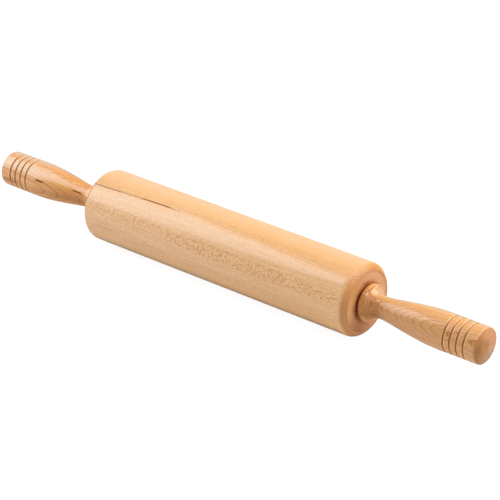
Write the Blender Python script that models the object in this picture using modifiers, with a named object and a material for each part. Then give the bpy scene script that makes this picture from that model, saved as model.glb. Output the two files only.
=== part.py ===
"""A maple rolling pin whose barrel turns on ball bearings.

Metres. +X runs along the pin and +Z is up. The origin lies on the counter, under the
middle of the barrel. Every turned piece is drawn as an outline of (radius, distance from
the middle of the pin) and turned about the pin's axis, and the left end repeats the right.
"""

import math

import bmesh
import bpy
import numpy as np

OBJECT_NAME = "rolling_pin"

# The barrel
BARREL_LENGTH = 0.3048
BARREL_RADIUS = 0.03335
SHOULDER_DROP = 0.0053
SHOULDER_AXIAL = 0.0127
SHOULDER_RADIAL = 0.0278
LIP_WIDTH = 0.0007
FACE_RECESS = 0.0004
BARREL_BORE_RADIUS = 0.00714

# The handles
HANDLE_GAP = 0.0027
HANDLE_LENGTH = 0.1197
FLANGE_RADIUS = 0.0171
FLANGE_THICKNESS = 0.0038
FLANGE_EDGE = 0.0011
COVE_DEPTH = 0.0008
NECK_RADIUS = 0.00995
NECK_FROM_FACE = 0.0168
GRIP_RADIUS = 0.0166
GRIP_FROM_FACE = 0.0883
END_RADIUS = 0.0164
END_EDGE = 0.0009
GRIP_CURVE_SHARES = (
    (0, 0), (0.08, 0.083), (0.2, 0.26), (0.33, 0.47),
    (0.5, 0.71), (0.7, 0.92), (0.85, 0.985), (1, 1),
)

# The four turned grooves near each handle's end
GROOVE_COUNT = 4
GROOVE_PITCH = 0.00675
GROOVE_FROM_END = 0.0115
GROOVE_WIDTH = 0.0020
GROOVE_DEPTH = 0.0009

# The steel axle and what holds it in the handles
ROD_RADIUS = 0.0047625
ROD_CHAMFER = 0.0008
THREAD_DEPTH = 0.0002
ROD_IN_HANDLE = 0.0380
DRILL_SPARE = 0.0015
INSERT_RADIUS = 0.00635
INSERT_LENGTH = 0.0160
CLIP_THICKNESS = 0.0009
CLIP_WIDTH = 0.0019
CLIP_GROOVE_DEPTH = 0.0005
CLIP_MOUTH = 0.0050
SPACER_WALL = 0.0014

# The ball bearings
BEARING_RADIUS = 0.0111125
BEARING_WIDTH = 0.00714
BEARING_INSET = 0.0005
BALL_COUNT = 7
BALL_RADIUS = 0.001984
PITCH_RADIUS = 0.0079375
LAND_OFFSET = 0.00135
SHIELD_THICKNESS = 0.0004
SHIELD_INSET = 0.00015
SHIELD_SEAT_WALL = 0.0010
CAGE_HALF_WIDTH = 0.00095
CAGE_FRONT = 0.0008

# Gaps between pieces
FIT_GAP = 0.0003
BALL_GAP = 0.00025

# How finely round shapes are divided
BARREL_SIDES = 64
HANDLE_SIDES = 32
BEARING_SIDES = 24
BALL_SEGMENTS = 8
BALL_RINGS = 6
POCKET_SEGMENTS = 12
POCKET_RINGS = 8
EDGE_STEPS = 3
SHOULDER_STEPS = 4
COVE_EDGE_STEPS = 2
COVE_STEPS = 5
RACE_STEPS = 4
GRIP_STEPS = 8
SHARP_ANGLE = math.radians(35)
MERGE_DISTANCE = 0.00001

# Places that follow from the sizes, as distances from the middle of the pin
AXIS_HEIGHT = BARREL_RADIUS * math.cos(math.pi / BARREL_SIDES)
LIP_AT = BARREL_LENGTH / 2
FACE_AT = LIP_AT - FACE_RECESS
BEARING_OUT = FACE_AT - BEARING_INSET
BEARING_IN = BEARING_OUT - BEARING_WIDTH
BEARING_MIDDLE = (BEARING_OUT + BEARING_IN) / 2
HANDLE_AT = FACE_AT + HANDLE_GAP
HANDLE_END = HANDLE_AT + HANDLE_LENGTH
NECK_AT = HANDLE_AT + NECK_FROM_FACE
GRIP_AT = HANDLE_AT + GRIP_FROM_FACE
ROD_END = HANDLE_AT + ROD_IN_HANDLE
THREAD_RADIUS = ROD_RADIUS - THREAD_DEPTH
INNER_LAND = PITCH_RADIUS - LAND_OFFSET
OUTER_LAND = PITCH_RADIUS + LAND_OFFSET
SHIELD_SEAT = BEARING_RADIUS - SHIELD_SEAT_WALL
RACE_RADIUS = BALL_RADIUS + BALL_GAP
CLIP_IN_RADIUS = ROD_RADIUS - CLIP_GROOVE_DEPTH + FIT_GAP
CLIP_OUT = BEARING_IN - FIT_GAP
CLIP_IN = CLIP_OUT - CLIP_THICKNESS

# Which way each end points along X, and how far it is turned round Z from the right end
END_SIGNS = {"right": 1, "left": -1}
END_TURNS = {"right": 0, "left": math.pi}


def clear_scene():
    for obj in list(bpy.data.objects):
        bpy.data.objects.remove(obj, do_unlink=True)


def new_collection(name):
    collection = bpy.data.collections.new(name)
    bpy.context.scene.collection.children.link(collection)
    return collection


def new_material(name, colour, roughness, metallic=0.0):
    material = bpy.data.materials.new(name)
    material.use_nodes = True
    shader = material.node_tree.nodes["Principled BSDF"]
    shader.inputs["Base Color"].default_value = (*colour, 1.0)
    shader.inputs["Roughness"].default_value = roughness
    shader.inputs["Metallic"].default_value = metallic
    return material


def new_empty(name):
    """An empty on the pin's axis, which the pieces of one moving body hang from."""
    empty = bpy.data.objects.new(name, None)
    PARTS.objects.link(empty)
    empty.location = (0, 0, AXIS_HEIGHT)
    return empty


# Outlines

def ellipse_arc(centre, radii, start, end, steps):
    """Points of an ellipse in (radius, distance) between two angles. 0 is straight out from the axis."""
    angles = np.linspace(math.radians(start), math.radians(end), steps + 1)
    out = centre[0] + radii[0] * np.cos(angles)
    along = centre[1] + radii[1] * np.sin(angles)
    return list(zip(out.tolist(), along.tolist()))


def smooth_curve(points, places):
    """Values of a cubic curve through (place, value) points. Each slope is its neighbours' chord."""
    at, value = np.array(points, float).T
    slope = np.gradient(value, at)
    places = np.asarray(places, float)
    index = np.clip(np.searchsorted(at, places, side="right") - 1, 0, len(at) - 2)
    span = at[index + 1] - at[index]
    t = (places - at[index]) / span
    start = (2 * t**3 - 3 * t**2 + 1) * value[index] + (t**3 - 2 * t**2 + t) * span * slope[index]
    end = (3 * t**2 - 2 * t**3) * value[index + 1] + (t**3 - t**2) * span * slope[index + 1]
    return start + end


def mirrored(half):
    """The outline of a piece that is alike on both sides of the middle, from its outer half."""
    return half + [(out, -along) for out, along in reversed(half)]


def shoulder_outline():
    """The rounded shoulder, from its lip down to the straight side: a stretch of an ellipse."""
    end = math.degrees(math.acos(1 - SHOULDER_DROP / SHOULDER_RADIAL))
    rise = SHOULDER_AXIAL * math.sin(math.radians(end))
    centre = (BARREL_RADIUS - SHOULDER_RADIAL, LIP_AT - rise)
    return ellipse_arc(centre, (SHOULDER_RADIAL, SHOULDER_AXIAL), end, 0, SHOULDER_STEPS)


def barrel_outline():
    seat_radius = BEARING_RADIUS + FIT_GAP
    seat_at = BEARING_IN - FIT_GAP
    recess_radius = BARREL_RADIUS - SHOULDER_DROP - LIP_WIDTH
    bore = [(BARREL_BORE_RADIUS, seat_at), (seat_radius, seat_at), (seat_radius, FACE_AT)]
    lip = [(recess_radius, FACE_AT), (recess_radius, LIP_AT)]
    return mirrored(bore + lip + shoulder_outline())


def grip_radius(along):
    """The handle's radius beyond its neck: it swells to the grip, then narrows a little to the end."""
    shares = np.clip((np.asarray(along) - NECK_AT) / (GRIP_AT - NECK_AT), 0, 1)
    swell = NECK_RADIUS + (GRIP_RADIUS - NECK_RADIUS) * smooth_curve(GRIP_CURVE_SHARES, shares)
    taper = np.clip((np.asarray(along) - GRIP_AT) / (HANDLE_END - GRIP_AT), 0, 1)
    return swell + (END_RADIUS - GRIP_RADIUS) * taper


def groove_points(middle):
    """A narrow V from its outer edge to its inner edge."""
    half = GROOVE_WIDTH / 2
    along = np.array([middle + half, middle, middle - half])
    out = grip_radius(along) - np.array([0, GROOVE_DEPTH, 0])
    return list(zip(out.tolist(), along.tolist()))


def end_outline():
    """The flat end, its rounded edge and the grooves."""
    points = [(0, HANDLE_END)]
    centre = (END_RADIUS - END_EDGE, HANDLE_END - END_EDGE)
    points += ellipse_arc(centre, (END_EDGE, END_EDGE), 90, 0, EDGE_STEPS)
    for number in range(GROOVE_COUNT):
        points += groove_points(HANDLE_END - GROOVE_FROM_END - number * GROOVE_PITCH)
    return points


def grip_outline():
    """The swell of the grip, from beside the last groove to the neck."""
    start = HANDLE_END - GROOVE_FROM_END - GROOVE_COUNT * GROOVE_PITCH
    along = np.linspace(start, NECK_AT, GRIP_STEPS)
    return list(zip(grip_radius(along).tolist(), along.tolist()))


def flange_outline():
    """The cove from the neck out to the flange, the flange's rounded rim and its face."""
    cove_radius = FLANGE_RADIUS - COVE_DEPTH
    cove_at = HANDLE_AT + FLANGE_THICKNESS
    radii = (cove_radius - NECK_RADIUS, NECK_AT - cove_at)
    cove = ellipse_arc((cove_radius, NECK_AT), radii, 180, 270, COVE_STEPS)
    rim = FLANGE_RADIUS - FLANGE_EDGE
    edge = (FLANGE_EDGE, FLANGE_EDGE)
    far = ellipse_arc((rim, cove_at - FLANGE_EDGE), edge, 45, 0, COVE_EDGE_STEPS)
    near = ellipse_arc((rim, HANDLE_AT + FLANGE_EDGE), edge, 0, -90, EDGE_STEPS)
    return cove[1:] + far + near


def handle_outline():
    pocket_radius = INSERT_RADIUS + FIT_GAP
    pocket_end = HANDLE_AT + INSERT_LENGTH + FIT_GAP
    drill_radius = THREAD_RADIUS + FIT_GAP
    drill_end = ROD_END + DRILL_SPARE
    pocket = [(pocket_radius, HANDLE_AT), (pocket_radius, pocket_end)]
    drilling = [(drill_radius, pocket_end), (drill_radius, drill_end), (0, drill_end)]
    return end_outline() + grip_outline() + flange_outline() + pocket + drilling


def rod_outline():
    """The axle: chamfered ends, threads a little under size, and a groove for each clip."""
    end = [(0, ROD_END), (THREAD_RADIUS - ROD_CHAMFER, ROD_END), (THREAD_RADIUS, ROD_END - ROD_CHAMFER)]
    thread = [(THREAD_RADIUS, HANDLE_AT), (ROD_RADIUS, HANDLE_AT)]
    groove_radius = ROD_RADIUS - CLIP_GROOVE_DEPTH
    groove_out = CLIP_OUT + FIT_GAP
    groove_in = CLIP_IN - FIT_GAP
    groove = [(ROD_RADIUS, groove_out), (groove_radius, groove_out)]
    groove += [(groove_radius, groove_in), (ROD_RADIUS, groove_in)]
    return mirrored(end + thread + groove)


def tube_outline(outer, inner, out, into):
    """A plain ring between two radii and two distances."""
    return [(inner, out), (outer, out), (outer, into), (inner, into)]


def race_arc(start, end):
    centre = (PITCH_RADIUS, BEARING_MIDDLE)
    return ellipse_arc(centre, (RACE_RADIUS, RACE_RADIUS), start, end, RACE_STEPS)


def race_half_angle():
    return math.degrees(math.acos(LAND_OFFSET / RACE_RADIUS))


def outer_ring_outline():
    """The outer ring: a step at each face for a shield, and the ball groove between the lands."""
    step = SHIELD_INSET + SHIELD_THICKNESS + FIT_GAP
    out = BEARING_OUT - step
    into = BEARING_IN + step
    outside = [(SHIELD_SEAT, BEARING_OUT), (BEARING_RADIUS, BEARING_OUT)]
    outside += [(BEARING_RADIUS, BEARING_IN), (SHIELD_SEAT, BEARING_IN)]
    race = race_arc(-race_half_angle(), race_half_angle())
    inside = [(SHIELD_SEAT, into), (OUTER_LAND, into)] + race
    return outside + inside + [(OUTER_LAND, out), (SHIELD_SEAT, out)]


def inner_ring_outline():
    bore = ROD_RADIUS + FIT_GAP
    race = race_arc(180 - race_half_angle(), 180 + race_half_angle())
    outside = [(bore, BEARING_OUT), (INNER_LAND, BEARING_OUT)] + race
    return outside + [(INNER_LAND, BEARING_IN), (bore, BEARING_IN)]


# Solids

def apply_modifiers(obj):
    """Keeps the shape that the modifiers make, shaded smooth between its sharp edges."""
    graph = bpy.context.evaluated_depsgraph_get()
    mesh = bpy.data.meshes.new_from_object(obj.evaluated_get(graph))
    obj.modifiers.clear()
    obj.data = mesh
    mesh.name = obj.name
    mesh.shade_smooth()
    mesh.set_sharp_from_angle(angle=SHARP_ANGLE)


def set_along_axis(obj, side, parent):
    """Lays an object drawn about its own Z along the pin, out of one end, with its own X pointing down."""
    obj.rotation_euler = (0, math.pi / 2, END_TURNS[side])
    obj.parent = parent
    if parent is None:
        obj.location = (0, 0, AXIS_HEIGHT)


def turned(name, outline, sides, material, side="right", parent=None):
    """A closed outline turned about the axis. It starts half a side round, so that a flat faces down."""
    turn = math.pi / sides
    points = [(out * math.cos(turn), out * math.sin(turn), along) for out, along in outline]
    edges = [(i, i + 1) for i in range(len(points) - 1)]
    if outline[0][0] > 0:
        edges.append((len(points) - 1, 0))
    mesh = bpy.data.meshes.new(name)
    mesh.from_pydata(points, edges, [])
    obj = bpy.data.objects.new(name, mesh)
    PARTS.objects.link(obj)
    screw = obj.modifiers.new("Turning", "SCREW")
    screw.axis = "Z"
    screw.angle = 2 * math.pi
    screw.steps = sides
    screw.render_steps = sides
    screw.use_merge_vertices = True
    screw.merge_threshold = MERGE_DISTANCE
    apply_modifiers(obj)
    obj.data.materials.append(material)
    set_along_axis(obj, side, parent)
    return obj


def ball_centres():
    """Where the balls lie about their own Z: evenly round the pitch circle, with one straight down."""
    angles = 2 * math.pi * np.arange(BALL_COUNT) / BALL_COUNT
    return [(PITCH_RADIUS * math.cos(a), PITCH_RADIUS * math.sin(a), BEARING_MIDDLE) for a in angles]


def sphere_mesh(name, radius, segments, rings, centres):
    """One mesh of equal spheres."""
    shape = bmesh.new()
    for centre in centres:
        made = bmesh.ops.create_uvsphere(shape, u_segments=segments, v_segments=rings, radius=radius)
        bmesh.ops.translate(shape, verts=made["verts"], vec=centre)
    mesh = bpy.data.meshes.new(name)
    shape.to_mesh(mesh)
    shape.free()
    mesh.shade_smooth()
    return mesh


def add_cutter(name, mesh, side, parent):
    cutter = bpy.data.objects.new(name, mesh)
    CUTTERS.objects.link(cutter)
    cutter.hide_render = True
    cutter.display_type = "WIRE"
    set_along_axis(cutter, side, parent)
    return cutter


def cut(obj, cutter):
    boolean = obj.modifiers.new("Cut " + cutter.name, "BOOLEAN")
    boolean.operation = "DIFFERENCE"
    boolean.solver = "EXACT"
    boolean.object = cutter
    bpy.context.view_layer.update()
    apply_modifiers(obj)


def box_mesh(name, low, high):
    shape = bmesh.new()
    made = bmesh.ops.create_cube(shape, size=1)
    size = np.subtract(high, low)
    middle = np.add(high, low) / 2
    bmesh.ops.scale(shape, verts=made["verts"], vec=size.tolist())
    bmesh.ops.translate(shape, verts=made["verts"], vec=middle.tolist())
    mesh = bpy.data.meshes.new(name)
    shape.to_mesh(mesh)
    shape.free()
    return mesh


def add_balls(side, material, parent):
    mesh = sphere_mesh("bearing_ball", BALL_RADIUS, BALL_SEGMENTS, BALL_RINGS, [(0, 0, 0)])
    mesh.materials.append(material)
    for number, (x, y, z) in enumerate(ball_centres(), start=1):
        ball = bpy.data.objects.new(f"bearing_ball_{side}_{number}", mesh)
        PARTS.objects.link(ball)
        ball.parent = parent
        ball.location = (END_SIGNS[side] * z, END_SIGNS[side] * y, -x)


def add_cage(side, material, parent):
    """A snap-in crown: a ring with an open pocket round each ball."""
    back = BEARING_OUT - SHIELD_INSET - SHIELD_THICKNESS - FIT_GAP
    front = BEARING_MIDDLE - CAGE_FRONT
    outline = tube_outline(PITCH_RADIUS + CAGE_HALF_WIDTH, PITCH_RADIUS - CAGE_HALF_WIDTH, back, front)
    cage = turned(f"bearing_cage_{side}", outline, BEARING_SIDES, material, side, parent)
    pockets = sphere_mesh("pockets", RACE_RADIUS, POCKET_SEGMENTS, POCKET_RINGS, ball_centres())
    cut(cage, add_cutter(f"pockets_{side}", pockets, side, parent))


def add_shields(side, material):
    outer = SHIELD_SEAT - FIT_GAP
    inner = INNER_LAND + FIT_GAP
    out = BEARING_OUT - SHIELD_INSET
    into = BEARING_IN + SHIELD_INSET
    front = tube_outline(outer, inner, out, out - SHIELD_THICKNESS)
    back = tube_outline(outer, inner, into + SHIELD_THICKNESS, into)
    turned(f"bearing_shield_out_{side}", front, BEARING_SIDES, material, side)
    turned(f"bearing_shield_in_{side}", back, BEARING_SIDES, material, side)


def add_clip(side, material, parent):
    """A spring clip in its groove on the axle, with an open mouth that faces down."""
    outer = CLIP_IN_RADIUS + CLIP_WIDTH
    outline = tube_outline(outer, CLIP_IN_RADIUS, CLIP_OUT, CLIP_IN)
    clip = turned(f"axle_clip_{side}", outline, BEARING_SIDES, material, side, parent)
    low = (0, -CLIP_MOUTH / 2, CLIP_IN - CLIP_THICKNESS)
    high = (outer + CLIP_THICKNESS, CLIP_MOUTH / 2, CLIP_OUT + CLIP_THICKNESS)
    cut(clip, add_cutter(f"clip_mouth_{side}", box_mesh("clip_mouth", low, high), side, parent))


def add_spacer(side, material, parent):
    inner = ROD_RADIUS + FIT_GAP
    outline = tube_outline(inner + SPACER_WALL, inner, HANDLE_AT - FIT_GAP, BEARING_OUT + FIT_GAP)
    turned(f"handle_spacer_{side}", outline, BEARING_SIDES, material, side, parent)


def add_insert(side, material, parent):
    outline = tube_outline(INSERT_RADIUS, THREAD_RADIUS + FIT_GAP, HANDLE_AT + INSERT_LENGTH, HANDLE_AT)
    turned(f"threaded_insert_{side}", outline, BEARING_SIDES, material, side, parent)


def build():
    barrel_wood = new_material("barrel_maple", (0.76, 0.50, 0.28), 0.45)
    handle_wood = new_material("handle_maple", (0.72, 0.43, 0.21), 0.25)
    axle_steel = new_material("axle_steel", (0.56, 0.57, 0.58), 0.30, 1.0)
    bearing_steel = new_material("bearing_steel", (0.62, 0.62, 0.63), 0.18, 1.0)
    spring_steel = new_material("spring_steel", (0.25, 0.25, 0.27), 0.40, 1.0)
    brass = new_material("insert_brass", (0.75, 0.55, 0.22), 0.30, 1.0)
    nylon = new_material("cage_nylon", (0.62, 0.58, 0.48), 0.50)
    spacer_nylon = new_material("spacer_nylon", (0.80, 0.78, 0.72), 0.45)

    turned("barrel", barrel_outline(), BARREL_SIDES, barrel_wood)
    axle = new_empty("axle")
    turned("axle_rod", rod_outline(), BEARING_SIDES, axle_steel, parent=axle)
    outer_ring = outer_ring_outline()
    inner_ring = inner_ring_outline()
    for side in END_SIGNS:
        cage = new_empty(f"cage_{side}")
        turned(f"bearing_outer_ring_{side}", outer_ring, BEARING_SIDES, bearing_steel, side)
        turned(f"bearing_inner_ring_{side}", inner_ring, BEARING_SIDES, bearing_steel, side, axle)
        add_shields(side, bearing_steel)
        add_cage(side, nylon, cage)
        add_balls(side, bearing_steel, cage)
        add_clip(side, spring_steel, axle)
        add_spacer(side, spacer_nylon, axle)
        add_insert(side, brass, axle)
        turned(f"handle_{side}", handle_outline(), HANDLE_SIDES, handle_wood, side, axle)


clear_scene()
PARTS = new_collection(OBJECT_NAME)
CUTTERS = new_collection(OBJECT_NAME + "_cutters")
build()
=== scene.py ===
"""The looks of a maple rolling pin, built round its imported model.

Metres. +X runs along the pin, +Z is up and the counter is at zero. The barrel and the handles
are turned again from finer outlines, and every surface gets a finish worked out from the
place on the piece: growth rings that run through the wood, fibres, flecks and lathe marks.
"""

import math

import bpy
import numpy as np
from mathutils import Matrix, Vector


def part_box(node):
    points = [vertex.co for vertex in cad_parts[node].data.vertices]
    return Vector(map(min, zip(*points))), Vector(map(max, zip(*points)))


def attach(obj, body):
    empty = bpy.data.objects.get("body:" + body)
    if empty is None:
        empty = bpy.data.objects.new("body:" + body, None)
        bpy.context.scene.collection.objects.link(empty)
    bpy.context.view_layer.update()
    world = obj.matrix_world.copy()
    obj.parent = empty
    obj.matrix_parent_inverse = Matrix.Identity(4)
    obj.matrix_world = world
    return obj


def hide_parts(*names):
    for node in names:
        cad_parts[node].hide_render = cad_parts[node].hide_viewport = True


# Millimetres in a metre. The shapes are in metres and the finishes in millimetres
MM = 1000

# The barrel's outline, in metres
SHOULDER_DROP = 0.0053
SHOULDER_AXIAL = 0.0127
SHOULDER_RADIAL = 0.0278
LIP_WIDTH = 0.0007
LIP_EDGE = 0.00022
FACE_RECESS = 0.0004
FACE_FILLET = 0.0005
BORE_RADIUS = 0.00714
SEAT_RADIUS = 0.0114125
SEAT_DEPTH = 0.00794
SEAT_CHAMFER = 0.0003

# The handles' outline, in metres
FLANGE_RADIUS = 0.0171
FLANGE_THICKNESS = 0.0038
FLANGE_EDGE = 0.0011
COVE_DEPTH = 0.0008
NECK_RADIUS = 0.00995
NECK_FROM_FACE = 0.0168
GRIP_RADIUS = 0.0166
GRIP_FROM_FACE = 0.0883
END_RADIUS = 0.0164
END_EDGE = 0.0009
POCKET_RADIUS = 0.00665
POCKET_DEPTH = 0.0163
DRILL_RADIUS = 0.0048625
DRILL_DEPTH = 0.0395

# How the radius swells, as shares: of the way from the neck to the grip, and of the swell
GRIP_CURVE_SHARES = (
    (0, 0), (0.08, 0.083), (0.2, 0.26), (0.33, 0.47),
    (0.5, 0.71), (0.7, 0.92), (0.85, 0.985), (1, 1),
)

# Where the cove runs into the flange's rounded edge, in degrees from straight out
FLANGE_EDGE_START = 58

# The grooves, in metres. Their sides are halfway down at a share of the half width, and so steep there
GROOVE_COUNT = 4
GROOVE_PITCH = 0.00675
GROOVE_FROM_END = 0.0115
GROOVE_WIDTH = 0.0022
GROOVE_DEPTH = 0.0009
CROWN_WIDTH = 0.0016
CROWN_DEPTH = 0.00016
GROOVE_SIDE_AT = 0.60
GROOVE_STEEPNESS = 8

# The chipping of the grooves' edges: its depth in metres, its place and spread as shares of a groove's half
# width, the number of its waves, and the fewest crests a wave has round the handle and one more than the most
CHIP_DEPTH = 0.00003
CHIP_AT = 0.75
CHIP_SPREAD = 0.35
CHIP_WAVES = 10
CHIP_CRESTS = (9, 60)
CHIP_SEED = 7

# The outline's points are close together to just past the last groove, and wider apart from there
CLOSE_POINTS_TO = 0.002
WIDE_POINTS_FROM = 0.003

# Sides of the turned forms, and the angle in degrees above which an edge between faces stays sharp
BARREL_SIDES = 256
HANDLE_SIDES = 192
SHARP_ANGLE = 38

# The angle round the axis runs from -30 to 330 degrees, with this one in the middle. What changes with it is
# back at its first value at this share of a turn, and the underside ends at this angle
FACING_ANGLE = 150
SEAM_SHARE = 0.90
UNDERSIDE_END = 300

# The camera, from the photograph's view: degrees and metres, and the picture in pixels
CAMERA_AZIMUTH = 40.5187
CAMERA_ELEVATION = 26.0808
CAMERA_DISTANCE = 2.04059
AIM_RIGHT = 0.01679
AIM_UP = 0.00001
FOCAL_PIXELS = 2307.0
PICTURE_PIXELS = 500
SENSOR_WIDTH = 36.0

# The room's light on the pin, and the floor: its width, its white, what polish reflects of it, and its own
# glow, for the eye alone
AMBIENT = 0.38
FLOOR_WIDTH = 12.0
FLOOR_WHITE = (0.88, 0.88, 0.88)
FLOOR_REFLECTED = (0.42, 0.42, 0.42)
FLOOR_GLOW = 1.15
FLOOR_GLOW_SHARE = 0.80

# Each softbox: its name, direction, distance, shift to the right and upwards, size, and brightness
SIDE_LIGHT = (-0.583, -0.366, 0.725)
SOFTBOXES = (
    ("side_softbox_left", SIDE_LIGHT, 1.2, (-0.50, -0.33), (0.50, 1.14), 1.95),
    ("side_softbox_middle", SIDE_LIGHT, 1.2, (-0.10, -0.33), (0.30, 1.14), 2.6),
    ("side_softbox_right", SIDE_LIGHT, 1.2, (0.17, -0.30), (0.24, 1.00), 2.3),
    ("top_softbox", (0.35, 0.50, 0.79), 1.5, (0, 0), (1.2, 1.2), 4.1),
    ("fill_softbox", (0.80, -0.45, 0.40), 1.7, (0, 0), (1.4, 1.4), 1.0),
    ("low_softbox", (0.10, -0.95, 0.20), 1.5, (0, 0), (1.2, 0.8), 0.28),
)

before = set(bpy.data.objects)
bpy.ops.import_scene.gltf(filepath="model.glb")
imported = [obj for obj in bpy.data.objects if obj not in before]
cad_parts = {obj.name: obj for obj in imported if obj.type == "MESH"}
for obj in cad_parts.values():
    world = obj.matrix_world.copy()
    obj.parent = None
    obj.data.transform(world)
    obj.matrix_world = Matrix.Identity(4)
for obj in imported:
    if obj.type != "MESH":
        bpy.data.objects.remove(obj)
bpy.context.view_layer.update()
AXIS_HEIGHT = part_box("barrel")[1].z / 2
LIP_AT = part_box("barrel")[1].x
HANDLE_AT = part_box("handle_right")[0].x
HANDLE_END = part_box("handle_right")[1].x
FACE_AT = LIP_AT - FACE_RECESS
FACE_RADIUS = AXIS_HEIGHT - SHOULDER_DROP - LIP_WIDTH
NECK_AT = HANDLE_AT + NECK_FROM_FACE


# Shapes

def arc(centre, radii, start, end, steps):
    """Points of an ellipse as (radius, distance), from one angle to another. The angle 0 is straight out
    from the axis."""
    angles = np.radians(np.linspace(start, end, steps + 1))
    return np.stack([centre[0] + radii[0] * np.cos(angles), centre[1] + radii[1] * np.sin(angles)], axis=1)


def straight(start, end, steps):
    """Evenly spaced points from just past one (radius, distance) to the other."""
    share = np.linspace(0, 1, steps + 1)[1:, None]
    return np.array(start) * (1 - share) + np.array(end) * share


def cubic(points, places):
    """A cubic curve through (place, value) points, its slope at each that of its neighbours' chord."""
    at, value = np.array(points, float).T
    slope = np.gradient(value, at)
    index = np.clip(np.searchsorted(at, places, side="right") - 1, 0, len(at) - 2)
    span = at[index + 1] - at[index]
    t = (places - at[index]) / span
    start = (2 * t**3 - 3 * t**2 + 1) * value[index] + (t**3 - 2 * t**2 + t) * span * slope[index]
    end = (3 * t**2 - 2 * t**3) * value[index + 1] + (t**3 - t**2) * span * slope[index + 1]
    return start + end


def turned_faces(count, sides, poles):
    """The corners' numbers of a turned form's faces: four-sided ones between each ring and the next, and
    triangles round the two poles, which come after the rings. Without poles the last ring joins the first."""
    ring, side = np.meshgrid(np.arange(count - 1 if poles else count), np.arange(sides), indexing="ij")
    after, beside = (ring + 1) % count, (side + 1) % sides
    corners = [ring * sides + side, after * sides + side, after * sides + beside, ring * sides + beside]
    faces = [np.stack(corners, axis=-1).reshape(-1, 4)]
    if poles:
        first, last, end = count * sides, count * sides + 1, (count - 1) * sides
        near = np.arange(sides)
        turn = (near + 1) % sides
        faces += [np.stack([turn, np.full(sides, first), near], axis=1)]
        faces += [np.stack([end + near, np.full(sides, last), end + turn], axis=1)]
    return faces


def turned(name, outline, sides, out=1, ragged=None):
    """An outline turned about the pin's axis: x is the distance, and y and z are the radius times the
    cosine and sine of the angle. An end on the axis closes in a pole, and any other outline closes on itself.
    ragged(angle, distance) is added to the radius. out is -1 for the left end, which mirrors the right."""
    outline = np.asarray(outline, float)
    poles = outline[:, 0] < 1e-9
    rings = outline[~poles]
    angles = 2 * np.pi * np.arange(sides) / sides
    radius = rings[:, :1] + np.zeros((1, sides))
    along = rings[:, 1:] + np.zeros((1, sides))
    if ragged:
        radius = radius + ragged(angles[None, :], along)
    grid = np.stack([out * along, radius * np.cos(angles), radius * np.sin(angles)], axis=-1).reshape(-1, 3)
    if poles.any():
        grid = np.concatenate([grid, [[out * outline[0, 1], 0, 0], [out * outline[-1, 1], 0, 0]]])
    grid[:, 2] += AXIS_HEIGHT
    faces = turned_faces(len(rings), sides, poles.any())
    if out < 0:
        faces = [part[:, ::-1] for part in faces]
    mesh = bpy.data.meshes.new(name)
    mesh.from_pydata(grid.tolist(), [], [face for part in faces for face in part.tolist()])
    mesh.shade_smooth()
    mesh.set_sharp_from_angle(angle=math.radians(SHARP_ANGLE))
    piece = bpy.data.objects.new(name, mesh)
    bpy.context.scene.collection.objects.link(piece)
    return piece


def barrel_outline():
    """The bore, the bearing's seat, the recessed face, the lip and the rounded shoulder, mirrored about the
    middle."""
    seat_at = FACE_AT - SEAT_DEPTH
    end = math.degrees(math.acos(1 - SHOULDER_DROP / SHOULDER_RADIAL))
    centre = (AXIS_HEIGHT - SHOULDER_RADIAL, LIP_AT - SHOULDER_AXIAL * math.sin(math.radians(end)))
    shoulder = arc(centre, (SHOULDER_RADIAL, SHOULDER_AXIAL), end, 0, 40)
    fillet = (FACE_RADIUS - FACE_FILLET, FACE_AT + FACE_FILLET)
    half = np.concatenate([
        [(BORE_RADIUS, 0)],
        straight((BORE_RADIUS, 0), (BORE_RADIUS, seat_at), 12),
        straight((BORE_RADIUS, seat_at), (SEAT_RADIUS, seat_at), 2),
        straight((SEAT_RADIUS, seat_at), (SEAT_RADIUS, FACE_AT - SEAT_CHAMFER), 4),
        [(SEAT_RADIUS + SEAT_CHAMFER, FACE_AT)],
        straight((SEAT_RADIUS + SEAT_CHAMFER, FACE_AT), (fillet[0], FACE_AT), 12),
        arc(fillet, (FACE_FILLET, FACE_FILLET), -90, 0, 5)[1:],
        arc((FACE_RADIUS + LIP_EDGE, LIP_AT - LIP_EDGE), (LIP_EDGE, LIP_EDGE), 180, 90, 4),
        [(shoulder[0, 0] - LIP_EDGE, LIP_AT)],
        shoulder[1:],
        straight(shoulder[-1], (AXIS_HEIGHT, 0), 40),
    ])
    other = half[::-1] * (1, -1)
    return np.concatenate([half[:-1], other[:-1]])


def grip_radius(along):
    """The handle's radius beyond its neck: a swell to the grip, then a slight taper to the end."""
    grip = HANDLE_AT + GRIP_FROM_FACE
    share = np.clip((along - NECK_AT) / (grip - NECK_AT), 0, 1)
    swell = NECK_RADIUS + (GRIP_RADIUS - NECK_RADIUS) * cubic(GRIP_CURVE_SHARES, share)
    taper = np.clip((along - grip) / (HANDLE_END - grip), 0, 1)
    return swell + (END_RADIUS - GRIP_RADIUS) * taper


def groove_places():
    """The grooves' distances from the pin's middle, evenly spaced from the one nearest the end."""
    return HANDLE_END - GROOVE_FROM_END - GROOVE_PITCH * np.arange(GROOVE_COUNT)


def groove_depth(along):
    """How far the grooves lie below the grip: a V with a rounded bottom for each, which is a falling curve of
    the distance from its middle, and a slight bell-shaped hollow round it that leaves the bands crowned."""
    away = np.abs(along[..., None] - groove_places())
    down_side = GROOVE_STEEPNESS * (away / (GROOVE_WIDTH / 2) - GROOVE_SIDE_AT)
    valley = GROOVE_DEPTH / (1 + np.exp(down_side))
    hollow = CROWN_DEPTH * np.exp(-((away / CROWN_WIDTH) ** 2))
    return (valley + hollow).max(axis=-1)


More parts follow.
